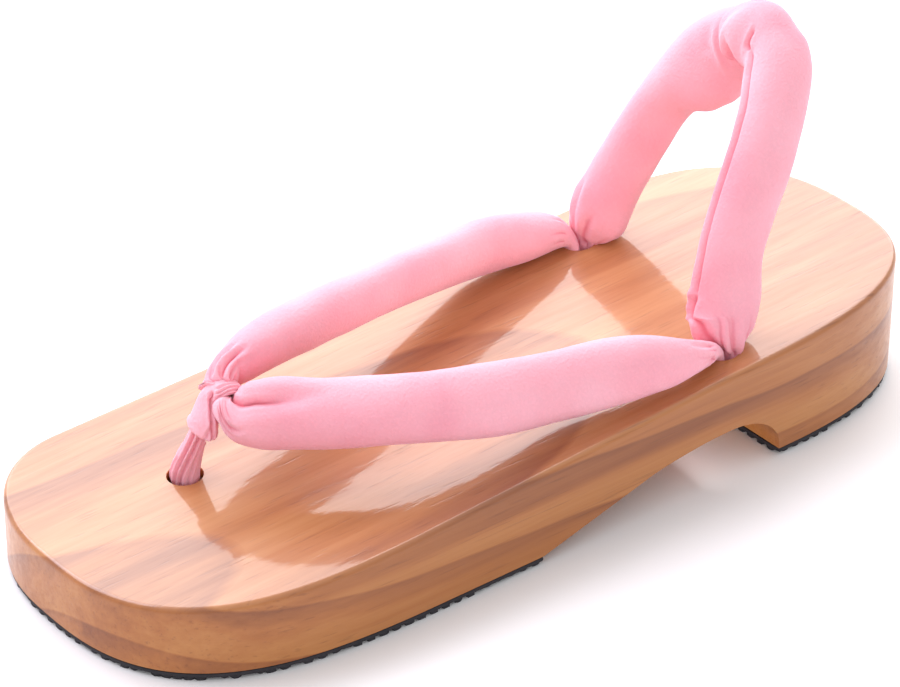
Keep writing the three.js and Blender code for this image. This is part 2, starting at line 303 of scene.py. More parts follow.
def lacqueredWood():
    material, nodes = newMaterial("lacqueredWood")
    look = woodLook
    # growth rings round a line that runs along the plank, low down and a little askew
    rings = nodes.add("ShaderNodeTexWave", wave_type="RINGS", rings_direction="X", wave_profile="SAW")
    nodes.join(nodes.mapped((1.0, 1.0, 1.0), turn=look["ringTilt"], move=look["ringCentre"]),
               rings.inputs["Vector"])
    rings.inputs["Scale"].default_value = look["ringsPerMetre"] / 6.28
    rings.inputs["Distortion"].default_value = 2.2
    rings.inputs["Detail"].default_value = 2.0
    rings.inputs["Detail Scale"].default_value = 0.35
    streaks = nodes.grainNoise(nodes.mapped(look["streaks"]), detail=4, roughness=0.6, distortion=0.35)
    fibres = nodes.grainNoise(nodes.mapped(look["fibres"]), detail=4, roughness=0.65, distortion=0.1)
    pores = nodes.grainNoise(nodes.mapped(look["pores"]), detail=2, roughness=0.5)
    ringTone = nodes.ramp(rings.outputs["Fac"],
                          [(0.0, 0.0), (0.55, 0.25), (0.86, 0.75), (0.96, 1.0), (1.0, 0.1)])
    mixTone = nodes.maths("ADD", nodes.maths("MULTIPLY", ringTone, look["ringShare"]),
                          nodes.maths("MULTIPLY", streaks, look["streakShare"]))
    mixTone = nodes.maths("ADD", mixTone, nodes.maths("MULTIPLY", fibres, look["fibreShare"]))
    colour = nodes.ramp(mixTone, [(0.44, look["pale"]), (0.68, look["middle"]), (0.98, look["dark"])])
    poreMask = nodes.remap(pores, 0.60, 0.72)
    colour = nodes.blend("MULTIPLY", nodes.maths("MULTIPLY", poreMask, look["poreShare"]), colour, look["pore"])
    facing = nodes.add("ShaderNodeSeparateXYZ")
    nodes.join(nodes.normal, facing.inputs["Vector"])
    upright = nodes.remap(facing.outputs["Z"], 0.9, 0.4)
    # painted shade: faces that stand upright are multiplied towards the deeper side tone
    colour = nodes.blend("MULTIPLY", upright, colour, look["sideShadeTint"])
    nodes.join(colour, nodes.shader.inputs["Base Color"])
    nodes.join(nodes.remap(fibres, 0.3, 0.7, *look["roughness"]), nodes.shader.inputs["Roughness"])
    nodes.join(nodes.remap(upright, 0, 1, 1.0, look["sideCoat"]), nodes.shader.inputs["Coat Weight"])
    nodes.setShader(coatRoughness=look["coatRoughness"], coatIor=look["coatIor"], specular=0.4)
    grain = nodes.maths("SUBTRACT", nodes.maths("MULTIPLY", fibres, 0.5),
                        nodes.maths("MULTIPLY", poreMask, 0.6))
    nodes.join(nodes.bump(grain, 0.35, 0.00012), nodes.shader.inputs["Normal"])
    # the lacquer follows the grain softly, with a little orange peel of its own
    peel = nodes.grainNoise(nodes.mapped(look["orangePeel"]), detail=2, roughness=0.5)
    lacquer = nodes.bump(peel, 0.30, 0.00010)
    nodes.join(nodes.bump(grain, 0.20, 0.00008, lacquer), nodes.shader.inputs["Coat Normal"])
    return material


deck = {
    "length": 240.0,
    "toeHeight": 18.6,
    "heelHeight": 34.4,
    "edgeRound": 1.4,
    "edgeSteps": 6,
    "cornerPoints": 400,
    "outlinePoints": 360,
    "base": 2.3,  # underside of the wood, just clear of the rubber
    "archFront": 14.5,
    "archBend": (-20.0, 11.4),
    "archTop": (-46.0, 13.9),
    "archSteps": 14,
    "breastSteps": 20,
    "breast": -61.0,
    "breastFoot": 1.0,
    "underEdge": 0.5,  # softened edges of the arch
}

# each corner of the outline: end and side it is on, its reach along the deck, half width,
# how far its tip lies off the middle, and how full it is
outlineCorners = {
    "outerToe": (1, 1, 68.0, 45.6, -8.3, 2.87),
    "outerHeel": (-1, 1, 75.0, 43.0, -1.8, 3.0),
    "innerHeel": (-1, -1, 44.0, 43.8, -1.8, 2.3),
    "innerToe": (1, -1, 28.0, 45.6, -8.3, 2.16),
}

strapHoles = {
    "toe": (78.0, -10.6),
    "rearMiddle": (-52.4, 1.6),
    "rearOut": 31.2,
    "radius": 4.25,
    "softRim": 0.35,
    "cutDeep": 60,
    "sides": 56,
}


def deckSlope():
    # rise for each millimetre towards the toe, so below nothing
    return (deck["toeHeight"] - deck["heelHeight"]) / deck["length"]


def deckTop(x):
    return (deck["toeHeight"] + deck["heelHeight"]) / 2 + deckSlope() * x


def outlineCorner(name):
    end, side, reach, halfWidth, tipY, power = outlineCorners[name]
    angle = np.linspace(0, math.pi / 2, deck["cornerPoints"])
    x = deck["length"] / 2 - reach + reach * np.cos(angle) ** (2 / power)
    y = tipY + side * (halfWidth - side * tipY) * np.sin(angle) ** (2 / power)
    return np.column_stack([end * x, y])


def deckOutline(inset=0.0, count=None):
    # anticlockwise seen from above, evenly spaced, moved in by a distance in millimetres
    rough = np.vstack([outlineCorner("outerToe"), outlineCorner("outerHeel")[::-1],
                       outlineCorner("innerHeel"), outlineCorner("innerToe")[::-1]])
    closed = np.vstack([rough, rough[:1]])
    lengths = np.concatenate([[0], np.cumsum(np.linalg.norm(np.diff(closed, axis=0), axis=1))])
    at = np.linspace(0, lengths[-1], (count or deck["outlinePoints"]) + 1)[:-1]
    even = np.column_stack([np.interp(at, lengths, closed[:, k]) for k in range(2)])
    run = np.roll(even, -1, axis=0) - np.roll(even, 1, axis=0)
    run /= np.linalg.norm(run, axis=1)[:, None]
    return even + inset * np.column_stack([-run[:, 1], run[:, 0]])


def ringPrism(rings):
    # closed solid from a stack of equal rings, flat at both ends
    count = len(rings[0])
    points = np.vstack(rings)
    faces = [tuple(reversed(range(count)))]
    for level in range(len(rings) - 1):
        low = level * count
        for k in range(count):
            nextK = (k + 1) % count
            faces.append((low + k, low + nextK, low + count + nextK, low + count + k))
    faces.append(tuple(range((len(rings) - 1) * count, len(rings) * count)))
    return points, faces


def underDeckCutter():
    # the arch and the pads' space, as one profile drawn out across the deck
    bendX, bendZ = deck["archBend"]
    topX, topZ = deck["archTop"]
    base = deck["base"]
    foot = base + deck["breastFoot"]
    past, below, aside = 200, -60, 120  # well clear of the deck
    profile = [(-past, below), (past, below), (past, base), (deck["archFront"], base)]
    for t in np.linspace(0, 1, deck["archSteps"]):
        midX = (bendX + topX) / 2
        profile.append(((1 - t) ** 2 * bendX + 2 * t * (1 - t) * midX + t * t * topX,
                        (1 - t) ** 2 * bendZ + 2 * t * (1 - t) * topZ + t * t * topZ))
    for angle in np.linspace(math.pi / 2, math.pi, deck["breastSteps"])[1:]:
        profile.append((topX + (topX - deck["breast"]) * math.cos(angle),
                        foot + (topZ - foot) * math.sin(angle)))
    profile += [(deck["breast"], base), (-past, base)]
    return ringPrism([np.array([(x, y, z) for x, z in profile]) for y in (aside, -aside)])


def holeCutter(x, y):
    # straight through the deck, flaring out softly at the top
    rim = strapHoles["softRim"]
    angle = np.linspace(0, 2 * math.pi, strapHoles["sides"], endpoint=False)
    rings = []
    steps = ((strapHoles["cutDeep"], 0), (rim, 0), (rim * 0.3, rim * 0.3),
             (-rim, rim * 1.5), (-rim * 3, rim * 4))
    for drop, wide in steps:
        ringX = x + (strapHoles["radius"] + wide) * np.cos(angle)
        ringY = y + (strapHoles["radius"] + wide) * np.sin(angle)
        rings.append(np.column_stack([ringX, ringY, deckTop(ringX) - drop]))
    return ringPrism(rings)


def strapAxes():
    # forward from between the rear holes to the toe hole, outward to the outer side, and the start
    toe = np.array(strapHoles["toe"])
    middle = np.array(strapHoles["rearMiddle"])
    forward = (toe - middle) / np.linalg.norm(toe - middle)
    return forward, np.array([-forward[1], forward[0]]), middle


def rearHole(side):
    _, outward, middle = strapAxes()
    return middle + outward * side * strapHoles["rearOut"]


def cutAway(piece, points, faces):
    cutter = meshPiece("cutter", points * mm, faces, piece.data.materials[0], smooth=False)
    modifier = piece.modifiers.new("cut", "BOOLEAN")
    modifier.operation = "DIFFERENCE"
    modifier.solver = "EXACT"
    modifier.object = cutter
    bpy.context.view_layer.update()
    applyModifiers(piece)
    bpy.data.objects.remove(cutter)


def flattenTop(mesh):
    # every corner that lies in the deck's top shades as one true plane
    near = 0.02  # mm
    topWay = Vector((-deckSlope(), 0, 1)).normalized()
    normals = [corner.vector.copy() for corner in mesh.corner_normals]
    onTop = [abs(v.co.z / mm - deckTop(v.co.x / mm)) < near for v in mesh.vertices]
    for polygon in mesh.polygons:
        if all(onTop[k] for k in polygon.vertices):
            for loop in polygon.loop_indices:
                normals[loop] = topWay
    mesh.normals_split_custom_set(normals)


def makeDeck(material):
    # rings as (inset, drop): straight up the side, then round the top edge
    below = -5.0  # the cutter takes this away again
    edge = deck["edgeRound"]
    rings = [(0.0, below), (0.0, -edge - 0.4)]
    for step in range(deck["edgeSteps"] + 1):
        angle = step / deck["edgeSteps"] * math.pi / 2
        rings.append((edge * (1 - math.cos(angle)), edge * (math.sin(angle) - 1)))
    rings.append((edge + 0.5, 0.0))
    stack = []
    for level, (inset, drop) in enumerate(rings):
        line = deckOutline(inset)
        height = np.full(len(line), below) if level == 0 else deckTop(line[:, 0]) + drop
        stack.append(np.column_stack([line, height]))
    points, faces = ringPrism(stack)
    piece = meshPiece("woodenDeck", points * mm, faces, material, smooth=False)
    cutAway(piece, *underDeckCutter())
    for x, y in (strapHoles["toe"], rearHole(1), rearHole(-1)):
        cutAway(piece, *holeCutter(x, y))
    soften = piece.modifiers.new("soften", "BEVEL")
    soften.width = deck["underEdge"] * mm
    soften.segments = 4
    soften.limit_method = "ANGLE"
    soften.angle_limit = math.radians(50)
    applyModifiers(piece)
    piece.data.shade_smooth()
    piece.data.set_sharp_from_angle(angle=math.radians(28))
    even = piece.modifiers.new("even", "WEIGHTED_NORMAL")
    even.weight = 60
    even.keep_sharp = True
    applyModifiers(piece)
    flattenTop(piece.data)
    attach(piece, "root")
    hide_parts("wood_deck")
    print("deck made with", len(piece.data.polygons), "faces")


rubberPads = {
    "thick": 2.0,
    "setBack": 0.2,  # in from the deck's edge
    "edgePoints": 720,
    "acrossPoints": 42,
    "edgeWander": 0.22,  # how unevenly the edge is cut
    "treadDeep": 0.75,
    "treadPitch": 3.6,
    "nubWide": 2.5,
    "nubSides": 12,
    "nubSquare": 3.2,  # 2 is round, more is squarer
    "nubTurn": 0.26,
    "nubWander": 0.25,
    "nubInset": 0.35,  # how far inside the edge the nubs are cut off
}


def blackRubber():
    material, nodes = newMaterial("blackRubber")
    grit = nodes.grainNoise(nodes.mapped((900, 900, 900)), detail=3, roughness=0.6)
    wear = nodes.grainNoise(nodes.mapped((60, 60, 60)), detail=3, roughness=0.6)
    colour = nodes.ramp(wear, [(0.3, tone(40, 38, 43)), (0.7, tone(58, 55, 60))])
    colour = nodes.blend("MULTIPLY", 0.35, colour, nodes.ramp(grit, [(0.35, 0.5), (0.65, 1.0)]))
    nodes.join(colour, nodes.shader.inputs["Base Color"])
    nodes.join(nodes.remap(wear, 0.3, 0.7, 0.62, 0.85), nodes.shader.inputs["Roughness"])
    nodes.join(nodes.bump(grit, 0.5, 0.00025), nodes.shader.inputs["Normal"])
    nodes.setShader(specular=0.35)
    return material


def padOutline(fromX, toX):
    # the part of the deck's outline between two stations, closed straight across
    line = deckOutline(rubberPads["setBack"], rubberPads["edgePoints"])
    keep = (line[:, 0] >= fromX) & (line[:, 0] <= toX)
    start = np.flatnonzero(keep & ~np.roll(keep, 1))[0]
    part = np.roll(line, -start, axis=0)[np.roll(keep, -start)]
    ends = part[[0, -1]].copy()
    ends[:, 0] = fromX if fromX > -deck["length"] / 2 else toX
    return np.vstack([part, np.linspace(ends[1], ends[0], rubberPads["acrossPoints"])[:-1]])


def wander(line, fineness, level):
    # soft unevenness at each point of a line; plain noise is the same on every run
    return np.array([noise.noise(Vector((x * fineness, y * fineness, level))) for x, y in line])


def padRings(edge, inward):
    # the pad's outline from the tread up to the wood
    highWander, lowWander = wander(edge, 0.35, 3.0), wander(edge, 0.55, 8.0)
    sole, thick = rubberPads["treadDeep"], rubberPads["thick"]
    steps = ((0.45, sole, True), (0.08, sole + 0.18, True), (0.0, sole + 0.5, False),
             (0.0, thick - 0.25, False), (0.15, thick, False))
    rings = []
    for inset, height, low in steps:
        uneven = 0.5 + 0.5 * lowWander if low else 0.3 + 0.3 * highWander
        shift = inset + rubberPads["edgeWander"] * uneven
        rings.append(np.column_stack([edge + inward * shift[:, None], np.full(len(edge), height)]))
    return rings


def nubOutline():
    angles = np.linspace(0, 2 * math.pi, rubberPads["nubSides"], endpoint=False) + rubberPads["nubTurn"]
    shape = np.column_stack([np.cos(angles), np.sin(angles)])
    power = rubberPads["nubSquare"]
    return shape / (np.abs(shape) ** power).sum(axis=1)[:, None] ** (1 / power)


def addNub(points, faces, middle, size, limit):
    # one open-topped nub that hangs from the sole and narrows downwards
    sides = rubberPads["nubSides"]
    start = len(points)
    for share, height in ((1.0, rubberPads["treadDeep"] + 0.05), (0.96, 0.22), (0.80, 0.02)):
        ring = clipTo(middle, middle + nubOutline() * size * share, limit)
        points.extend(np.column_stack([ring, np.full(sides, height)]))
    for level in range(2):
        low = start + level * sides
        for k in range(sides):
            a, b = low + k, low + (k + 1) % sides
            faces.append((a, a + sides, b + sides, b))
    faces.append(tuple(start + 2 * sides + k for k in reversed(range(sides))))


def makePad(name, node, fromX, toX, material):
    edge = padOutline(fromX, toX)
    inward = edge.mean(axis=0) - edge
    inward /= np.linalg.norm(inward, axis=1)[:, None]
    points, faces = ringPrism(padRings(edge, inward))
    points = list(points)
    # the tread: low nubs in staggered rows, those at the edge cut off by it
    limit = edge + inward * rubberPads["nubInset"]
    pitch = rubberPads["treadPitch"]
    low, high = edge.min(axis=0), edge.max(axis=0)
    row = nubs = 0
    y = low[1]
    while y < high[1] + pitch:
        x = low[0] + (pitch / 2 if row % 2 else 0)
        while x < high[0] + pitch:
            moved = [noise.noise(Vector((x * 0.7, y * 0.7, level))) for level in (1.0, 4.3, 7.6)]
            moved = Vector(moved) * rubberPads["nubWander"]
            middle = np.array([x + moved.x, y + moved.y])
            if insideLine(middle, limit):
                size = rubberPads["nubWide"] / 2 * (1 + 0.12 * moved.z * 4)
                addNub(points, faces, middle, size, limit)
                nubs += 1
            x += pitch
        y += pitch * 0.5
        row += 1
    piece = meshPiece(name, np.array(points) * mm, faces, material)
    even = piece.modifiers.new("even", "WEIGHTED_NORMAL")
    even.keep_sharp = True
    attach(piece, "root")
    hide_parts(node)
    print(name, "made with", nubs, "nubs")


def insideLine(point, line):
    # even-odd test of a point against a closed line
    a = line
    b = np.roll(line, -1, axis=0)
    crosses = (a[:, 1] > point[1]) != (b[:, 1] > point[1])
    with np.errstate(divide="ignore", invalid="ignore"):
        at = (b[:, 0] - a[:, 0]) * (point[1] - a[:, 1]) / (b[:, 1] - a[:, 1]) + a[:, 0]
    return bool(np.count_nonzero(crosses & (point[0] < at)) % 2)


def clipTo(middle, ring, line):
    # pulls points that fall outside a line back to it, towards the middle
    halvings = 9
    out = ring.copy()
    for k, point in enumerate(ring):
        if insideLine(point, line):
            continue
        low, high = 0.0, 1.0
        for _ in range(halvings):
            share = (low + high) / 2
            if insideLine(middle + (point - middle) * share, line):
                low = share
            else:
                high = share
        out[k] = middle + (point - middle) * low
    return out


crepeLook = {
    "pink": tone(248, 174, 187),
    "deep": tone(243, 162, 177),
    "pale": tone(250, 184, 197),
    "shadow": tone(226, 112, 128),  # painted shade at the bottom of a crease
    "grainPerMetre": 1500,
    "ripplePerMetre": 330,
    "cloudPerMetre": 42,
    "sheen": 0.4,
    "sheenTint": tone(250, 232, 250),
}


def pinkCrepe():
    material, nodes = newMaterial("pinkCrepe")
    look = crepeLook
    grainSize = look["grainPerMetre"]
    place = nodes.mapped((1, 1, 1))
    pebble = nodes.add("ShaderNodeTexVoronoi", feature="SMOOTH_F1")
    nodes.join(place, pebble.inputs["Vector"])
    pebble.inputs["Scale"].default_value = grainSize
    pebble.inputs["Smoothness"].default_value = 0.6
    twist = nodes.grainNoise(place, scale=grainSize * 0.7, detail=3, roughness=0.6, distortion=0.6)
    ripple = nodes.grainNoise(place, scale=look["ripplePerMetre"], detail=3, roughness=0.55)
    cloudy = nodes.grainNoise(place, scale=look["cloudPerMetre"], detail=2, roughness=0.5)
    grain = nodes.maths("ADD", nodes.maths("MULTIPLY", pebble.outputs["Distance"], -0.6), twist)
    colour = nodes.ramp(cloudy, [(0.3, look["deep"]), (0.5, look["pink"]), (0.72, look["pale"])])
    colour = nodes.blend("MULTIPLY", 0.6, colour, nodes.ramp(grain, [(0.15, 0.92), (0.55, 1.0)]))
    creaseShade = nodes.add("ShaderNodeAttribute", attribute_name="creaseShade").outputs["Fac"]
    # painted shade: along creases and pleats the colour is mixed towards the shadow tone
    colour = nodes.blend("MIX", nodes.remap(creaseShade, 0.1, 0.9, 0.0, 0.85), colour, look["shadow"])
    nodes.join(colour, nodes.shader.inputs["Base Color"])
    nodes.setShader(roughness=0.82, specular=0.25, sheen=look["sheen"], sheenRoughness=0.4,
                    sheenTint=look["sheenTint"], subsurface=0.18, subsurfaceRadius=(1.0, 0.45, 0.4),
                    subsurfaceScale=0.002)
    soft = nodes.bump(ripple, 0.16, 0.0005)
    nodes.join(nodes.bump(grain, 0.5, 0.0003, soft), nodes.shader.inputs["Normal"])
    return material


strapMesh = {
    "sides": 120,
    "step": 0.5,  # between rings
    "fineSteps": 3000,
    "turnWidth": 6.0,  # how far from the middle the tube has turned to face its side
}


def smoothTable(rows, step):
    # a smooth run through the rows, sampled about every step millimetres along the centre line
    rows = np.array(rows, float)
    gaps = np.sqrt(np.linalg.norm(np.diff(rows[:, :3], axis=0), axis=1)) + 1e-9
    knots = np.concatenate([[0], np.cumsum(gaps)])
    slopes = np.diff(rows, axis=0) / gaps[:, None]
    tangents = np.empty_like(rows)
    tangents[0], tangents[-1] = slopes[0], slopes[-1]
    before, after = gaps[:-1, None], gaps[1:, None]
    tangents[1:-1] = (after * slopes[:-1] + before * slopes[1:]) / (before + after)

    def sample(at):
        i = np.clip(np.searchsorted(knots, at, side="right") - 1, 0, len(gaps) - 1)
        h = gaps[i][:, None]
        t = ((at - knots[i]) / gaps[i])[:, None]
        return ((2 * t ** 3 - 3 * t ** 2 + 1) * rows[i] + (t ** 3 - 2 * t ** 2 + t) * h * tangents[i]
                + (3 * t ** 2 - 2 * t ** 3) * rows[i + 1] + (t ** 3 - t ** 2) * h * tangents[i + 1])

    fine = np.linspace(0, knots[-1], strapMesh["fineSteps"])
    dense = sample(fine)
    lengths = np.concatenate([[0], np.cumsum(np.linalg.norm(np.diff(dense[:, :3], axis=0), axis=1))])
    at = np.linspace(0, lengths[-1], int(lengths[-1] / step) + 1)
    table = np.column_stack([np.interp(at, lengths, dense[:, k]) for k in range(rows.shape[1])])
    return table, at, np.interp(knots, fine, lengths)


def strapPlace(along, out, up):
    # a place given along the strap's own axis, out to the outer side and up from the deck
    forward, outward, middle = strapAxes()
    x = middle[0] + forward[0] * along + outward[0] * out
    y = middle[1] + forward[1] * along + outward[1] * out
    return np.column_stack([x, y, deckTop(x) + up])


def unit(vectors):
    return vectors / np.maximum(np.linalg.norm(vectors, axis=1), 1e-12)[:, None]


foldShape = {
    "perDegree": 0.13,  # mm that a degree counts for along a path
    # shares of a fold's own width
    "tuckStep": 0.35,
    "tuckReach": 2.2,
    "shoulderAt": 1.9,
    "shoulderWide": 0.9,
    "shadeWide": 0.55,
    # mm: a fold this deep and this narrow gets the full painted shade
    "shadeDepth": 1.2,
    "shadeWidth": 1.1,
}


class StrapSkin:
    # the skin of a stuffed tube: rings of points, each with its run from the middle (mm), its turn
    # round the tube (degrees: 0 faces away from the centre line) and its way out.
    # With a middle row the run starts there and the tube faces out to both sides; without one the run
    # starts at the first row and the tube faces the toe
    def __init__(self, rows, middleRow=None, sides=None, step=None):
        table, lengths, rowLengths = smoothTable(rows, step or strapMesh["step"])
        self.sides = sides or strapMesh["sides"]
        self.count = len(table)
        along, out, up, wide, thick, lean = table.T
        centre = strapPlace(along, out, up)
        forward = unit(np.gradient(centre, axis=0))
        forwardAxis, outwardAxis, _ = strapAxes()
        if middleRow is None:
            across = np.tile([outwardAxis[0], outwardAxis[1], 0.0], (self.count, 1))
            across = unit(across - forward * (across * forward).sum(axis=1)[:, None])
            face = np.cross(across, forward)
        else:
            side = np.clip((out - rows[middleRow][1]) / strapMesh["turnWidth"], -1, 1)
            tip = np.radians(lean)
            level = side[:, None] * np.cos(tip)[:, None] * outwardAxis
            level = level - (1 - np.abs(side))[:, None] * forwardAxis
            face = np.column_stack([level, np.sin(tip)])
            face = unit(face - forward * (face * forward).sum(axis=1)[:, None])
            across = np.cross(forward, face)
            start = rowLengths[middleRow]
        turn = np.arange(self.sides) * 360 / self.sides
        c = np.cos(np.radians(turn))[None, :, None]
        s = np.sin(np.radians(turn))[None, :, None]
        wide = wide[:, None, None]
        thick = thick[:, None, None]
        self.points = centre[:, None] + face[:, None] * c * thick / 2 + across[:, None] * s * wide / 2
        way = face[:, None] * c * wide + across[:, None] * s * thick
        self.way = way / np.linalg.norm(way, axis=2, keepdims=True)
        self.girth = (math.pi * np.sqrt((wide ** 2 + thick ** 2) / 2))[:, :, 0]
        self.radius = (np.sqrt(wide * thick) / 2)[:, :, 0]
        run = lengths if middleRow is None else start - lengths
        self.run = np.repeat(run[:, None], self.sides, axis=1)
        self.turn = np.repeat(turn[None], self.count, axis=0)
        self.creaseShade = np.zeros(self.run.shape)

    def push(self, amount):
        self.points = self.points + self.way * amount[:, :, None]

    def fold(self, path, depth, width, fade, shoulder, kind="trough"):
        # path: (run, turn) points. A trough sinks, a ridge rises, a tuck lifts its left side over its right
        path = np.array(path, float)
        mid = path[:, 1].mean()
        turn = (self.turn - mid + 180) % 360 - 180 + mid
        perDegree = self.girth / 360
        legs = np.hypot(np.diff(path[:, 0]), np.diff(path[:, 1]) * foldShape["perDegree"])
        pathLength = np.concatenate([[0], np.cumsum(legs)])
        best = np.full(self.run.shape, 1e9)
        at = np.zeros(self.run.shape)
        hand = np.ones(self.run.shape)
        for i in range(len(path) - 1):
            ax, ay = path[i, 0], path[i, 1] * perDegree
            bx, by = path[i + 1, 0] - ax, path[i + 1, 1] * perDegree - ay
            px, py = self.run - ax, turn * perDegree - ay
            t = np.clip((px * bx + py * by) / np.maximum(bx * bx + by * by, 1e-9), 0, 1)
            away = np.hypot(px - bx * t, py - by * t)
            closer = away < best
            best = np.where(closer, away, best)
            here = (pathLength[i] + t * (pathLength[i + 1] - pathLength[i])) / pathLength[-1]
            at = np.where(closer, here, at)
            hand = np.where(closer, np.sign(bx * py - by * px), hand)
        strength = ease(at / max(fade[0], 1e-6)) * ease((1 - at) / max(fade[1], 1e-6))
        if kind == "tuck":
            step = np.tanh(best * hand / (width * foldShape["tuckStep"]))
            amount = depth * step * np.exp(-(best / (width * foldShape["tuckReach"])) ** 2)
        else:
            amount = (-1 if kind == "trough" else 1) * depth * np.exp(-(best / width) ** 2)
            if shoulder:
                beside = (best - foldShape["shoulderAt"] * width) / (width * foldShape["shoulderWide"])
                amount = amount + shoulder * depth * np.exp(-beside ** 2)
        self.push(amount * strength)
        if kind != "ridge":
            # only deep, narrow folds get painted shade along their line
            line = np.exp(-(best / (foldShape["shadeWide"] * width)) ** 2) * strength
            line = line * min(1, depth / foldShape["shadeDepth"]) * min(1, foldShape["shadeWidth"] / width) ** 3
            self.creaseShade = np.maximum(self.creaseShade, line)

    def gather(self, at, side, reach, count, depth, seed):
        # pleats that run out from a pinch, uneven in place, depth and length
        rng = np.random.default_rng(seed)
        away = (self.run - at) * side
        inside = ease(away / 1.5 + 1)
        amount = np.zeros(self.run.shape)
        for k in range(count):
            place = 360 * (k + 0.5 + rng.uniform(-0.3, 0.3)) / count
            drift = rng.uniform(-1.6, 1.6)  # degrees for each millimetre
            deep = depth * rng.uniform(0.5, 1.0)
            length = reach * rng.uniform(0.45, 1.15)
            turn = (self.turn - place - drift * away + 180) % 360 - 180
            offset = turn * self.girth / 360
            width = 0.42 + 0.055 * np.maximum(away, 0)
            rims = np.exp(-((np.abs(offset) - 1.8 * width) / width) ** 2)
            line = np.exp(-(offset / width) ** 2) - 0.35 * rims
            fading = np.exp(-(np.maximum(away, 0) / length) ** 2)
            amount -= deep * line * fading
            # painted shade along the bottom of each pleat
            shade = 0.8 * np.exp(-(offset / (0.6 * width)) ** 2) * fading * inside
            self.creaseShade = np.maximum(self.creaseShade, shade)
        self.push(amount * inside * np.minimum(1, self.radius / 3.0))

    def lumps(self, size, depth, seed):
        # uneven stuffing, or a slight waviness of the cloth
        flat = self.points.reshape(-1, 3)
        values = np.array([noise.noise(Vector(p) / size + Vector((seed, seed * 1.7, 0))) for p in flat])
        self.push(values.reshape(self.run.shape) * depth)

    def bulge(self, run, turn, reach, spread, depth):
        # a soft swelling, or with a negative depth a hollow
        around = (self.turn - turn + 180) % 360 - 180
        amount = depth * np.exp(-((self.run - run) / reach) ** 2) * np.exp(-(around / spread) ** 2)
        self.push(amount)

    def piece(self, name, material):
        rings, sides = self.count, self.sides
        points = self.points.reshape(-1, 3)
        ends = np.array([self.points[0].mean(axis=0), self.points[-1].mean(axis=0)])
        faces = []
        for i in range(rings - 1):
            for k in range(sides):
                a = i * sides + k
                b = i * sides + (k + 1) % sides
                faces.append((a, b, b + sides, a + sides))
        first = len(points)
        last = (rings - 1) * sides
        for k in range(sides):
            faces.append((first, (k + 1) % sides, k))
            faces.append((first + 1, last + k, last + (k + 1) % sides))
        made = meshPiece(name, np.vstack([points, ends]) * mm, faces, material)
        layer = made.data.attributes.new("creaseShade", "FLOAT", "POINT")
        layer.data.foreach_set("value", np.append(self.creaseShade.ravel(), [0, 0]).astype(np.float32))
        return made


def bothSides(strap):
    # a strap's outer side, middle and inner side as one table, and the place of the middle in it
    outer = strap["outer"] + strap["tail"]
    inner = strap["inner"] + strap["tail"]
    rows = outer[::-1] + [strap["middle"]] + [(row[0], -row[1]) + row[2:] for row in inner]
    return rows, len(outer)


def shapedStrap(strap):
    # the stuffed tube with its swellings, folds, pleats and slight unevenness
    skin = StrapSkin(*bothSides(strap))
    for swell in strap["swells"]:
        skin.bulge(*swell)
    for fold in strap["folds"]:
        skin.fold(*fold)
    for pinch in strap["gathers"]:
        skin.gather(*pinch)
    for lump in strap["lumps"]:
        skin.lumps(*lump)
    return skin


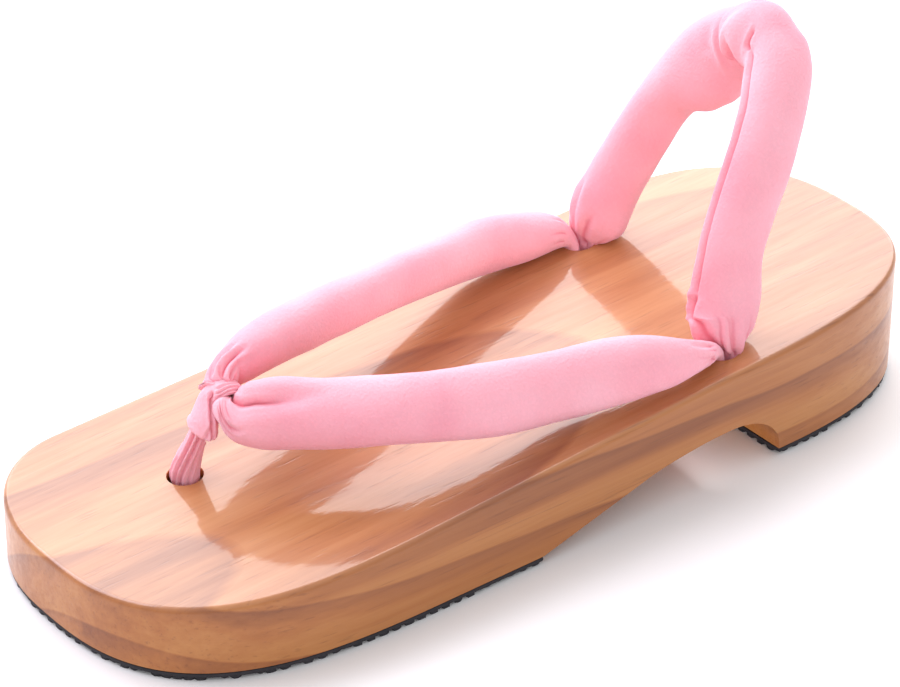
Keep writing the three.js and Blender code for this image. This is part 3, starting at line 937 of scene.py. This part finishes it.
instepStrap = {
    # along, out to its own side, up, wide, thick, lean; from the toe back to the holes
    "middle": (122.8, 4, 18.5, 5.4, 4.6, 22),
    "outer": [
        (123, 6.2, 18, 9.6, 6.4, 24), (121, 9, 17.9, 13.2, 8.2, 27), (117.4, 12.2, 17.9, 15.6, 9.8, 29),
        (112.6, 15.4, 18, 16.4, 11.2, 32), (105, 20.6, 17.8, 16.6, 12, 36),
        (90, 28.8, 17.5, 16.4, 12.3, 36), (70, 33.5, 14.5, 17.2, 12.2, 31),
        (50, 33.9, 10.8, 16.8, 12.2, 22), (30, 36, 9, 15.4, 12.3, 16),
        (20.5, 36.8, 7.3, 12.6, 11.6, 13),
        (14.2, 36.4, 6, 9.4, 10.2, 12), (8.6, 34.6, 4.3, 6.2, 8, 10), (5, 33, 2.9, 4.2, 6.2, 10),
        (2.8, 31.6, 0.7, 3.8, 6.2, 10),
    ],
    "inner": [
        (122.9, -1.4, 20, 8.8, 5.8, 26), (120.8, 0.6, 21.2, 11.8, 7.2, 30), (116.6, 2.6, 22.1, 13.6, 8.8, 34),
        (112.6, 4.1, 22.3, 15, 10.6, 36), (105, 6.9, 22.2, 15.8, 12, 38),
        (90, 11.2, 20.9, 15.2, 12.4, 36), (70, 17.7, 17.6, 16.2, 11.9, 31),
        (50, 24.3, 13.5, 16.9, 11.9, 26), (30, 30.4, 9.7, 16, 12.2, 20),
        (14.8, 32.2, 6.7, 12.4, 12.6, 12),
        (7.4, 32.4, 4.7, 9, 10.4, 10), (2.9, 31.8, 1.5, 4.6, 7.6, 10),
    ],
    "tail": [
        (2.15, 31.2, -2.5, 4, 7, 10), (2.1, 31.2, -9, 3.6, 5.4, 10), (2.1, 31.2, -16, 3.4, 4.2, 10),
        (3, 31.2, -19, 6, 6.4, 10), (4.2, 31.2, -21, 6.8, 7.2, 10), (5, 31.2, -22.6, 3.6, 3.6, 10),
    ],
    # soft swellings: run, turn, reach, spread, depth
    "swells": [
        (13, 62, 8, 32, 0.7), (20, 350, 14, 40, 0.4), (-20, 20, 12, 40, 0.4),
        (112, 60, 12, 50, 0.5), (-3.4, 234, 2, 42, -1.4),
    ],
    # creases and pleats: path of (run, turn), depth, width, how each end fades, shoulder, and its kind
    # where it isn't a trough
    "folds": [
        ([(3.2, 4), (5.1, 13), (10.1, 21), (14.7, 19), (20, 17)], 1.3, 0.65, (0.04, 0.6), 0.3),
        ([(4, 10), (10, 21), (15.7, 18), (20, 18), (24.3, 27), (30, 42)], 1.1, 1.7, (0.1, 0.6), 0.2),
        ([(3, 286), (4.5, 303), (6.6, 321), (8.6, 334)], 0.9, 0.5, (0.05, 0.5), 0.4),
        ([(3, 268), (5, 292), (7.2, 311)], 0.7, 0.5, (0.05, 0.5), 0.4),
        ([(3, 60), (7, 74), (12, 84)], 0.6, 0.7, (0.1, 0.6), 0.3),
        ([(-3.8, 60), (-6, 70), (-9, 78), (-15, 82)], 1.2, 1, (0.2, 0.5), 0.3),
        ([(-4, 10), (-6, 26), (-11, 44), (-15, 52)], 0.8, 0.9, (0.25, 0.5), 0.3),
        ([(-4, 330), (-6.5, 350), (-11, 2)], 0.6, 0.8, (0.3, 0.6), 0.3),
        ([(-4, 110), (-7, 108), (-12, 112)], 0.6, 0.8, (0.3, 0.6), 0.3),
        ([(117, 30), (121, 12), (126.5, 0)], 0.5, 1, (0.6, 0.05), 0.3),
        ([(117.5, 352), (121, 352), (126.5, 352)], 0.4, 0.9, (0.6, 0.05), 0.3),
        ([(119, 318), (122.5, 326), (126.5, 338)], 0.5, 0.9, (0.6, 0.05), 0.3),
        ([(116, 62), (121, 54), (126.5, 50)], 0.5, 1, (0.6, 0.05), 0.3),
    ],
    # pinched ends: place, way, reach, how many pleats, depth, seed
    "gathers": [
        (4, 1, 3, 9, 0.15, 11), (-4.5, -1, 5, 9, 0.3, 12), (127, -1, 7, 9, 0.25, 13), (-127, 1, 6, 9, 0.25, 14),
    ],
    # slight unevenness: size, depth, seed
    "lumps": [(22, 0.45, 3), (7, 0.16, 9)],
}


def makeInstepStrap(material):
    piece = shapedStrap(instepStrap).piece("instepStrap", material)
    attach(piece, "root")
    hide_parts("instep_strap")
    print("instep strap made")


heelStrap = {
    # along, out to its own side, up, wide, thick, lean; from the top of the loop down to the holes
    "middle": (-34, -2.2, 59.6, 17.4, 13.8, 42),
    "outer": [
        (-31.7, 6.4, 57.5, 17.2, 13.8, 38), (-26.6, 12.9, 51.7, 17.2, 13.5, 30),
        (-19.8, 18, 43.2, 16.8, 13.1, 20), (-13, 21.4, 32.2, 17.2, 13.1, 10),
        (-6.6, 24, 20.2, 17.6, 13, 4), (-4.4, 25.9, 11.4, 18.4, 12.8, 0),
        (-3.6, 28.4, 6.6, 16.8, 12, 0), (-2.5, 30.6, 3.5, 12.8, 10.2, 0), (-2.2, 31.2, 1.7, 8.6, 8.6, 0),
    ],
    "inner": [
        (-34.8, 11.4, 54.6, 17.3, 13.8, 38), (-31.4, 20.4, 46.3, 17.1, 13.6, 30),
        (-25.3, 26.6, 36.8, 16.7, 13.1, 20),
        (-18.3, 29.7, 26, 16.9, 13, 10), (-11.6, 30.8, 15.2, 16.9, 13, 4), (-7, 30.4, 8.8, 16.4, 12.2, 0),
        (-4.6, 30.4, 5.6, 14.6, 11, 0), (-3.4, 30.8, 3.4, 11.6, 10, 0), (-2.6, 31.1, 1.6, 8.2, 8.8, 0),
    ],
    "tail": [(-2.3, 31.2, 0.5, 4.8, 7.6, 0), (-2.15, 31.2, -2.5, 4, 7, 0), (-2.1, 31.2, -10, 3.4, 4, 0)],
    "swells": [
        (0.5, 228, 5.5, 32, 3.2), (4, 330, 9, 40, 0.8), (-22, 350, 13, 60, 3.2),
        (-23.5, 178, 7.5, 46, 5.2), (-32, 178, 4.5, 40, 2.6), (-12, 185, 7, 40, 2.2),
        (-41.5, 176, 5, 40, -1.4), (76, 90, 5, 50, -1.7), (78, 258, 4, 30, 2),
        (-75, 150, 5, 42, 2.2), (74, 268, 5, 26, 2.2),
        (72, 60, 8, 40, 0.7), (-73, 300, 8, 45, 0.7), (67.2, 254, 1.3, 10, 0.9), (69.8, 250, 1.1, 9, 0.7),
        (72.4, 247, 1.2, 9, 0.8),
    ],
    "folds": [
        # the kink at the top: the outer side laps over the inner one
        ([(-7, 350), (-6.8, 325), (-6.6, 295), (-6.4, 268), (-5.2, 240), (-4, 215), (-2.6, 190)],
         1.2, 1.5, (0.35, 0.1), 0, "tuck"),
        ([(-8, 350), (-7.8, 325), (-7.6, 295), (-7.4, 268), (-6.2, 240), (-5, 215), (-3.6, 190)],
         1.9, 0.7, (0.3, 0.05), 0),
        ([(-10.6, 330), (-10.6, 300), (-11.2, 270), (-12.6, 239), (-16.5, 212)],
         0.8, 1.5, (0.4, 0.3), 0, "ridge"),
        ([(-14.2, 320), (-14.6, 290), (-16.6, 250)], 0.6, 1.9, (0.4, 0.3), 0),
        ([(4.6, 297), (6.6, 282), (9, 276)], 1.2, 0.8, (0.2, 0.2), 0.35),
        # the long seam on the inner front edge of the outer leg, with its rolled rim
        ([(8, 284), (16, 272), (25.7, 272), (34.8, 266), (41.3, 262), (49.8, 262), (57, 267),
          (62.8, 271), (67.5, 270)], 1.1, 0.7, (0.06, 0.03), 0),
        ([(8, 272), (16, 259), (25.7, 259), (34.8, 252), (41.3, 247), (49.8, 246), (57, 250),
          (62.8, 252), (67.5, 250)], 0.55, 1.3, (0.12, 0.05), 0, "ridge"),
        ([(66, 280), (69, 266), (72.5, 262), (77, 276), (81.5, 300)], 1.3, 1.1, (0.2, 0.1), 0.3),
        ([(68, 24), (73.3, 14), (77.7, 8), (82, 356)], 0.8, 1.1, (0.5, 0.05), 0.3),
        ([(72, 334), (77, 338), (82, 344)], 0.7, 1, (0.5, 0.05), 0.3),
        ([(74, 60), (78, 52), (82, 40)], 0.7, 1, (0.5, 0.05), 0.3),
        # the long soft valley down the inner leg and the folds at its foot
        ([(-24, 206), (-33, 206), (-45, 214), (-54, 200), (-64, 178)], 0.9, 4.2, (0.35, 0.3), 0.15),
        ([(-64, 290), (-69, 284), (-74, 276), (-80, 262)], 0.8, 1.4, (0.4, 0.05), 0.4),
        ([(-72, 222), (-76, 226), (-81, 236)], 0.8, 1.1, (0.4, 0.05), 0.3),
        ([(-69, 312), (-75, 306), (-81, 286)], 0.8, 1.2, (0.4, 0.05), 0.3),
        ([(-30, 60), (-42, 70), (-55, 62)], 0.6, 3, (0.4, 0.4), 0.15),
        ([(20, 110), (34, 100), (50, 106)], 0.6, 3, (0.4, 0.4), 0.15),
    ],
    "gathers": [(81, -1, 8, 9, 0.5, 31), (-81, 1, 8, 9, 0.5, 32)],
    "lumps": [(20, 0.5, 5), (7, 0.16, 4)],
}


def makeHeelStrap(material):
    piece = shapedStrap(heelStrap).piece("heelStrap", material)
    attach(piece, "root")
    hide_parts("heel_strap")
    print("heel strap made")


toeStrap = {
    "sides": 72,
    "stemStep": 0.35,
    "wrapStep": 0.3,
    "stemShade": 0.5,  # the painted shade in the stem's pleats is halved: they are short and stay light
    # along, out, up, wide, thick; up out of the toe hole
    "stem": [
        (130.4, 0, -11, 5, 5), (130.5, -0.2, -3, 6.8, 6.4), (130.8, -0.4, 0.4, 7.4, 6.8),
        (130.1, 0.2, 4, 6.5, 6), (129.2, 1.1, 7.6, 5.3, 5), (128.4, 1.9, 10.8, 4.6, 4.4),
        (127.8, 2.5, 13.6, 4.2, 3.8), (127.2, 2.8, 15.4, 3.4, 3),
    ],
    # from the cuff's foot on the stem, up the front, over the strap's middle and down behind it
    "wrap": [
        (127.87, 3.15, 12.77, 4.6, 3.4), (127.8, 3.2, 13.1, 8.8, 5.8), (127.4, 3.5, 15, 8.8, 6.2),
        (126.9, 3.2, 17, 7.4, 5.4), (126.2, 2.6, 18.9, 5.7, 4.4), (125.4, 2.3, 20.4, 4.7, 3.8),
        (124.6, 2.6, 21.2, 4.8, 3.4), (123.2, 3.4, 22, 5.6, 3.2), (121.4, 4, 22.4, 5.6, 3),
        (119.6, 4.3, 21.6, 5, 2.9), (118.4, 4.3, 19.4, 4.6, 2.8), (119, 4.1, 17, 4.4, 2.6),
        (121.2, 4, 15.6, 4, 2.4), (123.6, 3.9, 15.6, 3.6, 2.2),
    ],
    "stemFolds": [
        ([(9, 16), (16, 22), (26, 32)], 0.85, 0.38, (0.02, 0.02), 0.35),
        ([(9, 36), (16, 50), (26, 72)], 0.85, 0.38, (0.02, 0.02), 0.35),
        ([(9, 344), (16, 352), (26, 5)], 0.4, 0.34, (0.02, 0.02), 0.35),
        ([(9, 72), (16, 86), (26, 104)], 0.4, 0.34, (0.02, 0.02), 0.35),
        ([(9, 150), (26, 160)], 0.5, 0.36, (0.02, 0.02), 0.35),
        ([(9, 210), (26, 200)], 0.5, 0.36, (0.02, 0.02), 0.35),
        ([(9, 270), (26, 265)], 0.5, 0.36, (0.02, 0.02), 0.35),
    ],
    "wrapFolds": [
        # the cuff's crisp outer edge and its turned-up corner
        ([(0.4, 96), (4, 82), (7.5, 78), (9.6, 60), (10.4, 20)], 0.9, 0.45, (0.05, 0.15), 0.4),
        ([(0.6, 58), (2.2, 74), (3.4, 92)], 0.5, 0.4, (0.1, 0.1), 0.4),
        # the ribs of the band over the strap
        ([(10.5, 52), (14, 44), (18, 46), (23, 50)], 0.42, 0.3, (0.05, 0.1), 0.4),
        ([(10.5, 76), (14, 68), (18, 68), (23, 70)], 0.42, 0.3, (0.05, 0.1), 0.4),
        ([(11, 24), (14, 20), (18, 22), (23, 28)], 0.42, 0.3, (0.05, 0.1), 0.4),
        ([(11.5, 358), (14.5, 356), (19, 358), (23, 4)], 0.5, 0.34, (0.05, 0.1), 0.4),
    ],
}


def makeToeStrap(material):
    stem, wrap = [StrapSkin([row + (0,) for row in toeStrap[part]], sides=toeStrap["sides"],
                            step=toeStrap[part + "Step"]) for part in ("stem", "wrap")]
    for fold in toeStrap["stemFolds"]:
        stem.fold(*fold)
    stem.creaseShade *= toeStrap["stemShade"]
    for fold in toeStrap["wrapFolds"]:
        wrap.fold(*fold)
    stemPiece = stem.piece("toeStrapStem", material)
    wrapPiece = wrap.piece("toeStrapWrap", material)
    for piece in (stemPiece, wrapPiece):
        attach(piece, "root")
    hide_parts("toe_strap")
    print("toe strap made")


makeCamera()
makeStudio()
makeFloor()
wood = lacqueredWood()
rubber = blackRubber()
crepe = pinkCrepe()
print("materials made")
makeDeck(wood)
makePad("forefootPad", "forefoot_pad", deck["archFront"], 1000, rubber)
makePad("heelPad", "heel_pad", -1000, deck["breast"], rubber)
makeInstepStrap(crepe)
makeHeelStrap(crepe)
makeToeStrap(crepe)
